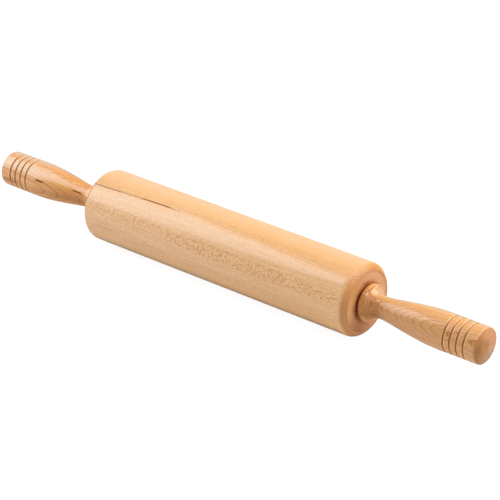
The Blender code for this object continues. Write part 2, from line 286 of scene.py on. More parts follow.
def ragged_grooves(seed):
    """A small uneven chipping of the grooves' edges: waves of the angle added together, only where a groove's
    side is steep."""
    draw = np.random.default_rng(seed)
    counts = draw.integers(*CHIP_CRESTS, CHIP_WAVES)
    phases = draw.uniform(0, 2 * np.pi, (CHIP_WAVES, GROOVE_COUNT))

    def ragged(angle, along):
        away = (along[..., None] - groove_places()) / (GROOVE_WIDTH / 2)
        near = np.exp(-((np.abs(away) - CHIP_AT) / CHIP_SPREAD) ** 2)
        waves = sum(np.sin(count * angle[..., None] + phase) for count, phase in zip(counts, phases))
        return (-CHIP_DEPTH * near * np.abs(waves)).sum(axis=-1)

    return ragged


def handle_outline():
    """The flat end, its rounded edge, the grooved grip, the cove, the flange and the pocket bored for the
    insert."""
    cove_at, cove_radius = HANDLE_AT + FLANGE_THICKNESS, FLANGE_RADIUS - COVE_DEPTH
    end_edge, flange_edge = END_RADIUS - END_EDGE, FLANGE_RADIUS - FLANGE_EDGE
    pocket_end = HANDLE_AT + POCKET_DEPTH
    body = np.concatenate([
        np.linspace(HANDLE_END - END_EDGE, groove_places()[-1] - CLOSE_POINTS_TO, 190),
        np.linspace(groove_places()[-1] - WIDE_POINTS_FROM, NECK_AT, 60),
    ])
    rounded = (FLANGE_EDGE, FLANGE_EDGE)
    return np.concatenate([
        [(0, HANDLE_END)],
        straight((0, HANDLE_END), (end_edge, HANDLE_END), 14)[:-1],
        arc((end_edge, HANDLE_END - END_EDGE), (END_EDGE, END_EDGE), 90, 0, 8)[:-1],
        np.stack([grip_radius(body) - groove_depth(body), body], axis=1),
        arc((cove_radius, NECK_AT), (cove_radius - NECK_RADIUS, NECK_AT - cove_at), 180, 270, 28)[1:],
        arc((flange_edge, cove_at - FLANGE_EDGE), rounded, FLANGE_EDGE_START, 0, 6),
        arc((flange_edge, HANDLE_AT + FLANGE_EDGE), rounded, 0, -90, 8),
        straight((flange_edge, HANDLE_AT), (POCKET_RADIUS, HANDLE_AT), 8),
        straight((POCKET_RADIUS, HANDLE_AT), (POCKET_RADIUS, pocket_end), 6),
        [(DRILL_RADIUS, pocket_end), (DRILL_RADIUS, HANDLE_AT + DRILL_DEPTH)],
        [(0, HANDLE_AT + DRILL_DEPTH)],
    ])


# Finishes

class Value:
    """A number or colour that changes over a surface. Arithmetic on it adds Math nodes."""

    def __init__(self, finish, socket):
        self.finish = finish
        self.socket = socket

    def __add__(self, other):
        return self.finish.math("ADD", self, other)

    __radd__ = __add__

    def __sub__(self, other):
        return self.finish.math("SUBTRACT", self, other)

    def __rsub__(self, other):
        return self.finish.math("SUBTRACT", other, self)

    def __mul__(self, other):
        return self.finish.math("MULTIPLY", self, other)

    __rmul__ = __mul__

    def __truediv__(self, other):
        return self.finish.math("DIVIDE", self, other)

    def __pow__(self, other):
        return self.finish.math("POWER", self, other)

    def __neg__(self):
        return self.finish.math("MULTIPLY", self, -1)

    def __abs__(self):
        return self.finish.math("ABSOLUTE", self)


class Finish:
    """One material, and short ways to add to its nodes. Places are in millimetres from the middle of the
    pin's axis."""

    def __init__(self, name):
        self.material = bpy.data.materials.new(name)
        self.material.use_nodes = True
        self.tree = self.material.node_tree
        self.shader = self.tree.nodes["Principled BSDF"]
        coordinates = self.node("TexCoord", output="Object")
        self.place = self.node("Mapping", inputs={
            "Vector": coordinates,
            "Location": (0, 0, -MM * AXIS_HEIGHT),
            "Scale": (MM, MM, MM),
        })
        distances = (self.node("SeparateXYZ", inputs={0: self.place}, output=axis) for axis in "XYZ")
        self.x, self.y, self.z = distances
        self.radius = (self.y * self.y + self.z * self.z) ** 0.5

    def node(self, kind, settings=None, inputs=None, output=0):
        """Adds a node: its settings first, then the values or links of its sockets. Returns one output."""
        node = self.tree.nodes.new("ShaderNode" + kind)
        for name, value in (settings or {}).items():
            if name == "stops":
                self.set_stops(node.color_ramp, value)
            elif name == "points":
                self.set_points(node.mapping, value)
            else:
                setattr(node, name, value)
        for name, value in (inputs or {}).items():
            self.fill(node.inputs[name], value)
        return Value(self, node.outputs[output])

    def fill(self, socket, value):
        if isinstance(value, Value):
            self.tree.links.new(value.socket, socket)
        else:
            socket.default_value = value

    def set_stops(self, ramp, stops):
        """Stops are (place, grey) or (place, colour)."""
        while len(ramp.elements) < len(stops):
            ramp.elements.new(1)
        for element, (place, shade) in zip(ramp.elements, stops):
            element.position = place
            element.color = (*shade, 1) if isinstance(shade, tuple) else (shade, shade, shade, 1)

    def set_points(self, mapping, points):
        curve = mapping.curves[0]
        while len(curve.points) < len(points):
            curve.points.new(1, 1)
        for point, place in zip(curve.points, points):
            point.location = place
            point.handle_type = "VECTOR"
        mapping.update()

    def math(self, operation, *values, clamp=False):
        settings = {"operation": operation, "use_clamp": clamp}
        return self.node("Math", settings, dict(enumerate(values)))

    def greater(self, first, second, clamp=False):
        return self.math("MAXIMUM", first, second, clamp=clamp)

    def smooth(self, value, low, high, start=0.0, end=1.0):
        """Goes smoothly from start to end as the value goes from low to high."""
        settings = {"interpolation_type": "SMOOTHSTEP"}
        inputs = {"Value": value, "From Min": low, "From Max": high, "To Min": start, "To Max": end}
        return self.node("MapRange", settings, inputs)

    def band(self, value, low, high, soft):
        """1 between two values and 0 outside them, with soft edges."""
        rise = self.smooth(value, low - soft, low + soft)
        return rise * self.smooth(value, high - soft, high + soft, 1.0, 0.0)

    def ramp(self, value, stops):
        return self.node("ValToRGB", {"stops": stops}, {"Fac": value})

    def mix(self, share, first, second, blend="MIX"):
        """Colours mixed by a share. Sockets 6 and 7 take the colours, and output 2 is their mixture."""
        colours = {6: first, 7: second}
        inputs = {0: share, **{key: (*c, 1) if isinstance(c, tuple) else c for key, c in colours.items()}}
        return self.node("Mix", {"data_type": "RGBA", "blend_type": blend}, inputs, output=2)

    def tint(self, share, colour, factor):
        """The colour multiplied by a factor for red, green and blue, by a share."""
        return self.mix(share, colour, factor, "MULTIPLY")

    def layers(self, colour, *coats):
        """Further colours laid over a colour in turn, each by its share."""
        for share, shade in coats:
            colour = self.mix(share, colour, shade)
        return colour

    def noise(self, vector, scale=1.0, detail=2.0, roughness=0.5):
        inputs = {"Vector": vector, "Scale": scale, "Detail": detail, "Roughness": roughness}
        return self.node("TexNoise", inputs=inputs)

    def line_noise(self, value, scale, detail):
        """Noise along one number."""
        inputs = {"W": value, "Scale": scale, "Detail": detail}
        return self.node("TexNoise", {"noise_dimensions": "1D"}, inputs)

    def long_noise(self, along, across, shift=(0, 0, 0), **settings):
        """Noise drawn out to one length along the pin and another across it."""
        scale = (1 / along, 1 / across, 1 / across)
        place = self.node("Mapping", inputs={"Vector": self.place, "Scale": scale, "Location": shift})
        return self.noise(place, **settings)

    def grains(self, along, across, low, high, shift, **settings):
        """Scattered spots: 0 where long noise is below a level, and 1 where it is above another."""
        return self.smooth(self.long_noise(along, across, shift, **settings), low, high)

    def finish_off(self, colour, roughness, height, depth, **fixed):
        """Joins the colour, the roughness and a bump of a depth in metres to the shader, and sets its fixed
        values."""
        self.fill(self.shader.inputs["Base Color"], colour)
        self.fill(self.shader.inputs["Roughness"], roughness)
        bump = self.node("Bump", inputs={"Height": height, "Strength": 1.0, "Distance": depth})
        self.fill(self.shader.inputs["Normal"], bump)
        for name, value in fixed.items():
            self.fill(self.shader.inputs[name.replace("_", " ")], value)
        return self.material


class Wood(Finish):
    """A turned piece's wood. Angles are round the axis, in degrees from +Y towards +Z."""

    def __init__(self, name):
        super().__init__(name)
        outwards, beside = self.across(FACING_ANGLE)
        self.angle = self.math("ARCTAN2", beside, outwards) * math.degrees(1) + FACING_ANGLE

    def across(self, angle):
        """Two distances from the axis: towards an angle, such as that of the growth rings' normal, and square
        to it."""
        cosine, sine = math.cos(math.radians(angle)), math.sin(math.radians(angle))
        return self.y * cosine + self.z * sine, self.z * cosine - self.y * sine

    def around(self, stops):
        """Colours by the angle as a share of a turn. The last goes back to the first before the angle starts
        again, so that no seam shows."""
        return self.ramp(self.angle / 360, [*stops, (SEAM_SHARE, stops[0][1])])

    def facing(self, start, end, soft):
        """1 between two angles and 0 outside them, with soft edges."""
        return self.band(self.angle, start, end, soft)

    def lower(self, start, soft):
        """1 on the front and the underside, from an angle on, and 0 on the top and the back."""
        return self.facing(start, UNDERSIDE_END, soft)

    def streak(self, start, end, at, width, soft=1.5):
        """A thin mark along the pin, between two distances from the middle, at an angle."""
        away = abs(self.angle - at) * self.radius * math.radians(1)
        return self.band(self.x, start, end, soft) * self.smooth(away, width * 0.3, width, 1.0, 0.0)

    def fibres(self):
        """Long fine streaks along the grain, coarse and fine together, round 0.5."""
        coarse = self.long_noise(38, 1.5, detail=3, roughness=0.6)
        fine = self.long_noise(9, 0.7, (5, 0, 0), detail=2, roughness=0.6)
        return coarse * 0.5 + fine * 0.5


# The barrel's wood

# Which way the growth rings' normal points, how far apart they are along it, and how dark a growth line is,
# by the share of the way from one to the next
BARREL_RING_NORMAL = 65
BARREL_RING_SPACING = 2.45
BARREL_LINE_SHAPE = ((0, 1.0), (0.14, 0.5), (0.40, 0.0), (0.78, 0.0), (0.92, 0.5), (1, 1.0))

# The check runs from the left end to here along the pin, at an angle that drifts over its outer stretch
CHECK_STOP = -43
CHECK_ANGLE = 118.4
CHECK_DRIFT = 5.6
CHECK_DRIFT_FROM = 60
CHECK_DRIFT_LENGTH = 80

# The fleck's arcs are ripples of the distance to scattered middles, in cells of these lengths. A ripple's
# length, and that of a degree round the barrel
FLECK_CELL_ALONG = 8.5
FLECK_CELL_ROUND = 10.0
FLECK_RIPPLE = 2.7
MM_PER_DEGREE = 0.582

# The wood's colour, by its depth along the rings' normal as a share of this span. It is partly painted light:
# the pinkish tan front stands in for part of the side softbox's reflection, and the brightest red on the
# lower front stands in for light from below
TONE_SPAN = 66.6
BARREL_TONES_AND_LIGHT = (
    (0.07, (1.0, 0.595, 0.272)), (0.123, (1.0, 0.578, 0.276)), (0.19, (0.93, 0.562, 0.298)),
    (0.29, (0.925, 0.57, 0.312)), (0.379, (0.925, 0.562, 0.3)), (0.5, (0.985, 0.588, 0.3)),
    (0.6, (0.92, 0.543, 0.268)), (0.72, (0.84, 0.5, 0.25)), (0.8, (0.94, 0.515, 0.23)),
    (0.86, (0.94, 0.518, 0.218)), (0.93, (0.92, 0.532, 0.252)), (0.99, (0.88, 0.565, 0.325)),
)

# The shoulders' end grain and the recessed faces, by the angle round the axis as a share of a turn. The
# shoulders' tones darken over the front and underside, which is painted shade over the end grain's own colour
END_GRAIN_AND_SHADE_TONES = (
    (0.2, (0.755, 0.304, 0.076)), (0.264, (0.83, 0.436, 0.187)), (0.319, (0.88, 0.406, 0.187)),
    (0.369, (0.74, 0.3, 0.09)), (0.43, (0.575, 0.224, 0.057)), (0.486, (0.455, 0.193, 0.053)),
    (0.542, (0.48, 0.213, 0.067)), (0.597, (0.57, 0.26, 0.09)), (0.653, (0.632, 0.304, 0.142)),
)
FACE_TONES = (
    (0.208, (0.77, 0.41, 0.205)), (0.264, (0.73, 0.378, 0.19)), (0.319, (0.75, 0.345, 0.16)),
    (0.375, (0.69, 0.322, 0.11)), (0.43, (0.73, 0.352, 0.127)), (0.486, (0.74, 0.366, 0.156)),
    (0.542, (0.73, 0.375, 0.178)), (0.597, (0.62, 0.302, 0.148)), (0.653, (0.49, 0.225, 0.105)),
    (0.694, (0.51, 0.228, 0.108)),
)

# Colours laid over the barrel's wood
DRY_TAN = (0.94, 0.53, 0.24)
EDGE_BROWN = (0.6, 0.24, 0.075)
BARREL_LINE_BROWN = (0.42, 0.19, 0.055)
THREAD_BROWN = (0.5, 0.25, 0.085)
FLECK_BROWN = (0.52, 0.225, 0.045)
TICK_BROWN = (0.45, 0.162, 0.012)
PORE_TAN = (0.56, 0.28, 0.085)
CLOUD_TAN = (0.62, 0.34, 0.14)
FIBRE_TAN = (0.6, 0.33, 0.14)
SCRATCH_BROWN = (0.3, 0.13, 0.04)
CHECK_BROWN = (0.22, 0.066, 0.001)
FACE_LINE_BROWN = (0.46, 0.2, 0.06)
FACE_RIM_BROWN = (0.5, 0.23, 0.09)
# A painted shade for the face in the gap under the flange
SHADE_BROWN = (0.2, 0.032, 0.01)

# What its colour is multiplied by: everywhere, from the left end to the right, and in the places named
BARREL_TINT = (1.01, 1.05, 1.09)
LEFT_END_TINT = (1.0, 1.03, 1.13)
RIGHT_END_TINT = (0.955, 0.88, 0.77)
TOP_LEFT_TINT = (1.0, 1.01, 1.12)
GOLD_TINT = (1.05, 1.02, 0.9)
# A painted highlight along the upper edge of the pale front
PAINTED_HIGHLIGHT_TINT = (1.11, 1.1, 1.12)
FLECK_TINT = (1.055, 1.055, 1.055)
# Painted shade of the flange on the face, and its darkest part
FLANGE_SHADE_TINT = (0.84, 0.67, 0.42)
DEEP_FLANGE_SHADE_TINT = (0.7, 0.6, 0.5)

# Thin dark lines: from and to along the pin, the angle, the width and the strength
BARREL_MARKS = (
    (-135, -113, 188, 0.45, 0.5),
    (-75, -72, 186, 0.6, 0.6),
    (-94, -68, 207, 0.8, 0.22),
    (20.5, 23, 153, 0.6, 0.75),
    (98, 104, 205, 0.8, 0.2),
    (97.5, 99, 141, 0.5, 0.5),
    (-22, 82, 152.6, 0.7, 0.22),
)


def growth_lines(wood, depth, shoulder):
    """Straight lines, uneven along the pin, and fine threads between them. Both are plainest on the shoulders
    and faint near the top."""
    drift = wood.long_noise(260, 40, detail=1) * 1.6 - 0.8
    rings = (depth + drift) / BARREL_RING_SPACING
    uneven = wood.smooth(wood.long_noise(26, 1.2, detail=3), 0.34, 0.66, 0.05, 1.0)
    shown = wood.smooth(depth, 30, 16, 0.12, 1.0) * (0.40 + 0.46 * shoulder)
    line = wood.ramp(wood.math("FRACT", rings), BARREL_LINE_SHAPE)
    # The lines are fainter where the side softbox's reflection falls, a painted highlight over them
    line = line * uneven * shown * (1 - wood.facing(122, 148, 8) * 0.35)
    thread = wood.grains(55, 0.8, 0.50, 0.66, (9, 3, 5), detail=1) * shown
    return line, thread


def barrel_check(wood):
    """A long fine check from the left end. Returns how open it is, the angle from it, and a share that is 1
    on the drier wood above it."""
    drifted = wood.math("MULTIPLY", -wood.x - CHECK_DRIFT_FROM, 1 / CHECK_DRIFT_LENGTH, clamp=True)
    from_check = wood.angle - (drifted ** 1.25 * CHECK_DRIFT + CHECK_ANGLE)
    opened = wood.smooth(wood.x, CHECK_STOP + 5, CHECK_STOP - 5) * wood.smooth(wood.x, -54, -60, 0.35, 1.0)
    opened = opened * (1 - wood.band(wood.x, -116, -90, 6) * 0.4)
    opened = opened * wood.smooth(wood.x, -100, -80, 0.75, 1.0)
    opened = opened * wood.smooth(wood.long_noise(9, 40, detail=2), 0.2, 0.5, 0.7, 1.0)
    check = wood.smooth(abs(from_check), 1.45, 0.75) * opened
    above = wood.smooth(from_check, 0.3, -0.3) * wood.smooth(wood.x, -46, -64)
    above = above * wood.smooth(wood.angle, 30, 55)
    return check, from_check, above


def ray_fleck(wood, end, broad):
    """Ray fleck along the front. Returns its band, its arcs, which are ripples round scattered middles, and
    the short ticks among them."""
    low = wood.smooth(wood.x, -75, -45, 148.5, 153)
    high = wood.smooth(wood.x, -75, -45, 161.5, 171)
    flecked = wood.smooth(wood.angle - low, -1.5, 1.5) * wood.smooth(wood.angle - high, -2.5, 2.5, 1.0, 0.0)
    flecked = flecked * wood.band(end, -1, 144, 3) * (1 - wood.band(wood.x, -72, -44, 8) * 0.45)
    flecked = flecked * wood.smooth(wood.x, -115, -80, 0.72, 1.0)
    round_pin = wood.angle * (MM_PER_DEGREE / FLECK_CELL_ROUND)
    in_cells = {0: wood.x / FLECK_CELL_ALONG, 1: round_pin, 2: 0.0}
    cells = {"Vector": wood.node("CombineXYZ", inputs=in_cells), "Scale": 1.0, "Randomness": 1.0}
    away = wood.node("TexVoronoi", {"feature": "F1"}, cells) * FLECK_CELL_ALONG
    ripple = wood.math("SINE", (away + broad * 2.0) * (2 * math.pi / FLECK_RIPPLE))
    broken = wood.grains(1.8, 1.6, 0.38, 0.56, (3, 1, 2), detail=3)
    arcs = wood.smooth(ripple, -0.1, 0.9) * broken * flecked
    ticks = wood.grains(1.1, 2.2, 0.57, 0.70, (7, 5, 1), detail=1) * flecked
    return flecked, arcs, ticks


def barrel_tone(wood, depth):
    """The wood's colour, partly painted light: by its depth, redder towards the right end, paler at the top
    of the left end, a rich gold above the pale front and a painted highlight that brightens the edge of that
    front towards the right."""
    ends = wood.mix(wood.smooth(wood.x, -150, 150), LEFT_END_TINT, RIGHT_END_TINT)
    top_left = wood.smooth(depth, 16, 26) * wood.smooth(wood.x, -40, -120)
    gold = wood.facing(110, 119, 4) * wood.smooth(wood.x, -30, 20)
    # A painted highlight: the upper edge of the pale front, brighter towards the right
    bright = wood.facing(121, 132, 4) * wood.smooth(wood.x, -30, 130)
    tone = wood.ramp(depth / TONE_SPAN + 0.5, BARREL_TONES_AND_LIGHT)
    tone = wood.tint(1.0, tone, wood.mix(0.5, ends, BARREL_TINT))
    tone = wood.tint(top_left, tone, TOP_LEFT_TINT)
    tone = wood.tint(gold, tone, GOLD_TINT)
    return wood.tint(bright, tone, PAINTED_HIGHLIGHT_TINT)


def barrel_face(wood, line):
    """The recessed face: end grain with the growth lines, a browner rim below, and a painted shade of the
    flange round it, darkest at its top and front."""
    rim = wood.smooth(wood.radius, 26.0, 27.0) * wood.lower(155, 10)
    # A painted shade of the flange on the face round it, darkest at its top and front
    flange_shade = wood.smooth(wood.radius, 20.5, 17.2)
    deepest_shade = flange_shade * (wood.facing(184, 222, 8) + wood.facing(80, 104, 8))
    colour = wood.layers(wood.around(FACE_TONES), (line * 0.7, FACE_LINE_BROWN), (rim * 0.5, FACE_RIM_BROWN))
    colour = wood.tint(flange_shade, colour, FLANGE_SHADE_TINT)
    return wood.tint(deepest_shade * 0.7, colour, DEEP_FLANGE_SHADE_TINT)


def barrel_maple():
    """Quarter-sawn maple with a satin finish: straight growth lines, a band of ray fleck along the front, a
    fine check that runs in from the left end, and darker end grain on the shoulders. Painted shade darkens
    the shoulders' front and underside and the face round and under the flange, and a painted highlight
    brightens the pale front's upper edge."""
    wood = Wood("barrel_maple")
    depth = wood.across(BARREL_RING_NORMAL)[0]
    end = abs(wood.x)
    lip, rim = MM * LIP_AT, MM * FACE_RADIUS
    shoulder = wood.smooth(end, lip - 6.5, lip - 2.5)
    face = wood.smooth(wood.radius, rim + 0.1, rim - 0.1) * wood.smooth(end, lip - 2, lip - 1)
    fibre = wood.fibres()
    broad = wood.long_noise(90, 9, detail=2)
    line, thread = growth_lines(wood, depth, shoulder)
    check, from_check, above = barrel_check(wood)
    flecked, arcs, ticks = ray_fleck(wood, end, broad)

    edge = wood.smooth(end, lip - 1.8, lip - 1.0) * (1 - wood.lower(128.5, 13.5))
    figured = wood.smooth(depth, -21, -28, 1.0, 0.35)
    pore = wood.grains(2.2, 1.0, 0.44, 0.66, (2, 8, 4), detail=2, roughness=0.7)
    pore = pore * wood.smooth(depth, 30, 20, 0.4, 1.0)
    grain = wood.smooth(fibre, 0.38, 0.64) * wood.smooth(depth, 32, 18, 0.4, 1.0)
    colour = wood.layers(
        barrel_tone(wood, depth),
        (above * 0.35, DRY_TAN),
        # The shoulders' end grain, with painted shade on their front and underside
        (shoulder * wood.smooth(wood.x, -1, 1, 0.3, 1.0), wood.around(END_GRAIN_AND_SHADE_TONES)),
        (edge * 0.45, EDGE_BROWN),
        (line * figured, BARREL_LINE_BROWN),
        (thread * figured * 0.22, THREAD_BROWN),
    )
    colour = wood.layers(
        wood.tint(flecked, colour, FLECK_TINT),
        (arcs * 0.66, FLECK_BROWN),
        (ticks * 0.62, TICK_BROWN),
        (pore * figured * 0.46, PORE_TAN),
        (wood.smooth(broad, 0.3, 0.7) * figured * 0.10, CLOUD_TAN),
        (grain * figured * 0.32, FIBRE_TAN),
        *((wood.streak(*mark) * strength, SCRATCH_BROWN) for *mark, strength in BARREL_MARKS),
        (check * 0.93, CHECK_BROWN),
    )
    # A painted shade: the face under the flange, in the gap, is dark brown
    hidden = wood.smooth(wood.radius, 15.6, 15.2) * face * (wood.lower(110.5, 14.5) * 0.6 + 0.4)
    colour = wood.layers(colour, (face, barrel_face(wood, line)), (hidden * 0.95, SHADE_BROWN))

    height = fibre * 0.5 - line * 0.3 - check * 1.5
    unpolished = wood.smooth(wood.angle, 114, 104) + wood.smooth(wood.angle, 290, 320)
    matt = wood.greater(wood.greater(above, unpolished, clamp=True), shoulder)
    roughness = wood.smooth(fibre, 0.3, 0.7, 0.30, 0.40) + matt * 0.38
    roughness = roughness + face * 0.25 + check * (1 - matt) * 0.3
    dulled = wood.smooth(from_check, 11, 0, 0.0, 0.4) * wood.smooth(wood.x, -46, -64)
    coat = (1 - matt) * (1 - dulled) * (1 - face * 0.8) * (1 - check)
    return wood.finish_off(
        colour, roughness, height, depth=0.00003,
        Coat_Weight=coat, Coat_Roughness=0.15, IOR=1.5,
    )


# The handles' wood. HANDLE_MM is where each handle starts and TIP_MM where it ends

HANDLE_MM = MM * HANDLE_AT
TIP_MM = MM * HANDLE_END

# Where the right and left handles' growth rings lie along their normal, and the even spacing outside those
RIGHT_RING_NORMAL = 152
RIGHT_RINGS = (22.39, 23.51, 25.57, 27.09, 28.56, 29.63, 31.21, 32.44, 33.75, 35.25)
RIGHT_RING_SPACING = 1.45
LEFT_RING_NORMAL = 188
LEFT_RINGS = (19.3, 21.62, 23.98, 26.66)
LEFT_RING_SPACING = 2.4
RINGS_BEFORE = 20
RINGS_AFTER = 4

# How dark a ring's thin core and the wide skirt beside it are, by the share of the way to the next ring
RING_CORE_SHAPE = ((0, 1.0), (0.05, 0.9), (0.10, 0.2), (0.16, 0.0), (0.96, 0.0), (1, 1.0))
RING_SKIRT_SHAPE = ((0, 1.0), (0.35, 0.25), (0.7, 0.0), (0.93, 0.1), (1, 1.0))

# Colours by the angle round the axis, as a share of a turn
RIGHT_TONES = (
    (0.235, (0.93, 0.56, 0.285)), (0.255, (0.91, 0.472, 0.186)), (0.275, (0.87, 0.442, 0.165)),
    (0.315, (0.84, 0.425, 0.158)), (0.36, (0.81, 0.432, 0.205)), (0.41, (0.7, 0.348, 0.128)),
    (0.45, (0.69, 0.35, 0.13)), (0.5, (0.71, 0.37, 0.162)), (0.55, (0.76, 0.4, 0.178)),
    (0.58, (0.87, 0.49, 0.255)), (0.605, (0.93, 0.55, 0.3)),
)
# The left handle's far tones are paler from 130 to 144 degrees, a painted highlight over the wood's colour
LEFT_FAR_TONES_AND_HIGHLIGHT = (
    (0.22, (0.96, 0.65, 0.45)), (0.255, (0.89, 0.51, 0.305)), (0.29, (0.79, 0.415, 0.185)),
    (0.315, (0.77, 0.42, 0.195)), (0.36, (0.79, 0.525, 0.34)), (0.4, (0.81, 0.515, 0.315)),
    (0.45, (0.78, 0.4, 0.165)), (0.485, (0.86, 0.455, 0.2)), (0.53, (0.72, 0.355, 0.125)),
    (0.56, (0.76, 0.37, 0.14)), (0.585, (0.88, 0.47, 0.215)), (0.625, (0.72, 0.36, 0.13)),
)
# Near the barrel the left handle is darker on its front and underside, partly the wood's tone and partly
# painted shade
LEFT_CLOSE_TONES_AND_SHADE = (
    (0.22, (0.86, 0.38, 0.13)), (0.255, (0.85, 0.355, 0.062)), (0.3, (0.79, 0.36, 0.105)),
    (0.35, (0.76, 0.39, 0.175)), (0.4, (0.82, 0.375, 0.105)), (0.45, (0.68, 0.29, 0.07)),
    (0.49, (0.56, 0.237, 0.064)), (0.545, (0.52, 0.217, 0.058)), (0.567, (0.58, 0.25, 0.076)),
    (0.585, (0.78, 0.37, 0.15)),
)
# Painted shade on the right handle's foot near the barrel, darkest on the underside
NECK_SHADE_TINTS = (
    (0.265, (1.0, 0.94, 0.84)), (0.319, (0.98, 0.83, 0.67)), (0.361, (0.9, 0.82, 0.69)),
    (0.403, (0.83, 0.71, 0.62)), (0.444, (0.8, 0.67, 0.52)), (0.486, (0.8, 0.67, 0.53)),
    (0.528, (0.7, 0.57, 0.42)), (0.569, (0.58, 0.47, 0.33)), (0.611, (0.6, 0.49, 0.35)),
)
# The left handle's collar: pale tones that are a painted reflection over the wood's colour
COLLAR_REFLECTION_TONES = (
    (0.26, (0.9, 0.52, 0.26)), (0.34, (0.97, 0.68, 0.48)), (0.46, (0.86, 0.52, 0.3)),
)

# The flat end, by the angle round the axis from where it starts, as a share of a turn: lighter towards the
# top and darker towards the front and underside, which is painted light and shade over the wood's colour.
# Which way the streaks on it run, their length and their width
CAP_TONES_AND_SHADE = (
    (0.0, (0.69, 0.378, 0.208)), (0.083, (0.71, 0.358, 0.184)), (0.208, (0.85, 0.39, 0.172)),
    (0.333, (0.82, 0.38, 0.152)), (0.458, (0.51, 0.198, 0.052)), (0.583, (0.345, 0.135, 0.034)),
    (0.708, (0.43, 0.2, 0.076)), (0.833, (0.54, 0.292, 0.15)), (0.958, (0.65, 0.374, 0.228)),
    (1.0, (0.69, 0.378, 0.208)),
)
CAP_STREAK_ANGLE = 44
CAP_STREAK_LENGTH = 7
CAP_STREAK_WIDTH = 1.25

# Dark marks in the left handle: from and to along the pin, the angle, the width and the strength
LEFT_MARKS = (
    (-272, -256, 194, 3.0, 0.38),
    (-229, -220, 158.5, 1.3, 0.97),
    (-186, -175.5, 148, 1.2, 0.88),
)

# Colours laid over the handles' wood
RING_SKIRT_BROWN = (0.5, 0.21, 0.05)
RING_CORE_BROWN = (0.4, 0.13, 0.006)
MARK_BROWN = (0.2, 0.042, 0.001)
NECK_BROWN = (0.64, 0.28, 0.06)
# A painted highlight: the pale arc where the cove meets the flange
FOOT_HIGHLIGHT_CREAM = (1.0, 0.8, 0.5)
FOOT_BROWN = (0.55, 0.23, 0.06)
# Painted glints on the right handle's foot
GLINT_CREAM = (1.0, 0.78, 0.62)
# A painted highlight along the flange's lower edge
LOW_FOOT_HIGHLIGHT_TAN = (0.9, 0.52, 0.28)
# Painted shade in the gap beside the barrel
GAP_SHADE_BROWN = (0.2, 0.06, 0.02)
# A painted highlight in pale patches
MOTTLED_HIGHLIGHT_CREAM = (1.0, 0.64, 0.38)
# Painted highlights on the grooves' lips
LIP_HIGHLIGHT_CREAM = (1.0, 0.62, 0.33)
# Brown in the grooves, partly cut grain and partly painted shade
GROOVE_GRAIN_AND_SHADE_BROWN = (0.33, 0.11, 0.004)
# A painted shadow in the grooves
NICK_SHADOW_BROWN = (0.11, 0.07, 0.03)
SMUDGE_BROWN = (0.36, 0.15, 0.035)
V_BROWN = (0.36, 0.14, 0.02)
RIM_BROWN = (0.4, 0.18, 0.06)
# A painted highlight on the upper side of the end's eased edge
RIM_HIGHLIGHT_CREAM = (1.0, 0.6, 0.28)
CAP_MIDDLE_BROWN = (0.53, 0.235, 0.082)
CAP_RING_BROWN = (0.42, 0.19, 0.07)

# What their colour is multiplied by: everywhere, and in the places named
HANDLE_TINT = (1.035, 1.05, 1.06)
FIBRE_TINT = (0.66, 0.58, 0.44)
PORE_TINT = (0.58, 0.49, 0.3)
# Painted shade that tones down the reflection on the top of the right handle's foot
NECK_TOP_SHADE_TINT = (0.93, 0.78, 0.57)
CAP_STREAK_TINT = (0.62, 0.56, 0.46)

# The V of dark wood at the right handle's end: its angle, how far it runs in, what a degree measures there,
# and how fast it opens
V_ANGLE = 149
V_LENGTH = 7.4
V_MM_PER_DEGREE = 0.288
V_OPENING = 0.22


def ring_count(wood, depth, rings, spacing):
    """How many growth rings lie below a depth: whole numbers at the listed depths, and even steps outside
    them."""
    low, high = rings[0] - RINGS_BEFORE * spacing, rings[-1] + RINGS_AFTER * spacing
    total = RINGS_BEFORE + len(rings) - 1 + RINGS_AFTER
    places = [low, *rings, high]
    counts = [0, *range(RINGS_BEFORE, RINGS_BEFORE + len(rings)), total]
    points = [((place - low) / (high - low), count / total) for place, count in zip(places, counts)]
    curve = wood.node("FloatCurve", {"points": points}, {"Value": (depth - low) / (high - low)})
    return curve * total


def handle_rings(wood, right, along):
    """The ring count at each place. The rings slant along the handle and wander a little, so that they leave
    the surface in nested arches, and the left handle's are bowed too."""
    depth, beside = wood.across(RIGHT_RING_NORMAL if right else LEFT_RING_NORMAL)
    wander = wood.long_noise(30, 9, detail=2)
    if right:
        return ring_count(wood, depth + along * 0.07 + (wander * 0.5 - 0.25), RIGHT_RINGS, RIGHT_RING_SPACING)
    bowed = depth + along * 0.05 - beside * beside / 100
    return ring_count(wood, bowed + (wander * 0.7 - 0.35), LEFT_RINGS, LEFT_RING_SPACING)


def handle_tone(wood, right, along):
    """The wood's colour, which on the left handle holds a painted highlight and, near the barrel, painted
    shade, and how plainly the growth arches show on it, which is most on the front.
    """
    if right:
        neck = wood.smooth(along, 205, 165) * wood.facing(136, 160, 8)
        colour = wood.mix(neck * 0.5, wood.around(RIGHT_TONES), NECK_BROWN)
        return colour, wood.lower(110, 14) * 0.65 + 0.35
    close = wood.around(LEFT_CLOSE_TONES_AND_SHADE)
    far = wood.around(LEFT_FAR_TONES_AND_HIGHLIGHT)
    colour = wood.mix(wood.smooth(along, 185, 250), close, far)
    return colour, wood.lower(141, 13) * 0.85 + 0.15


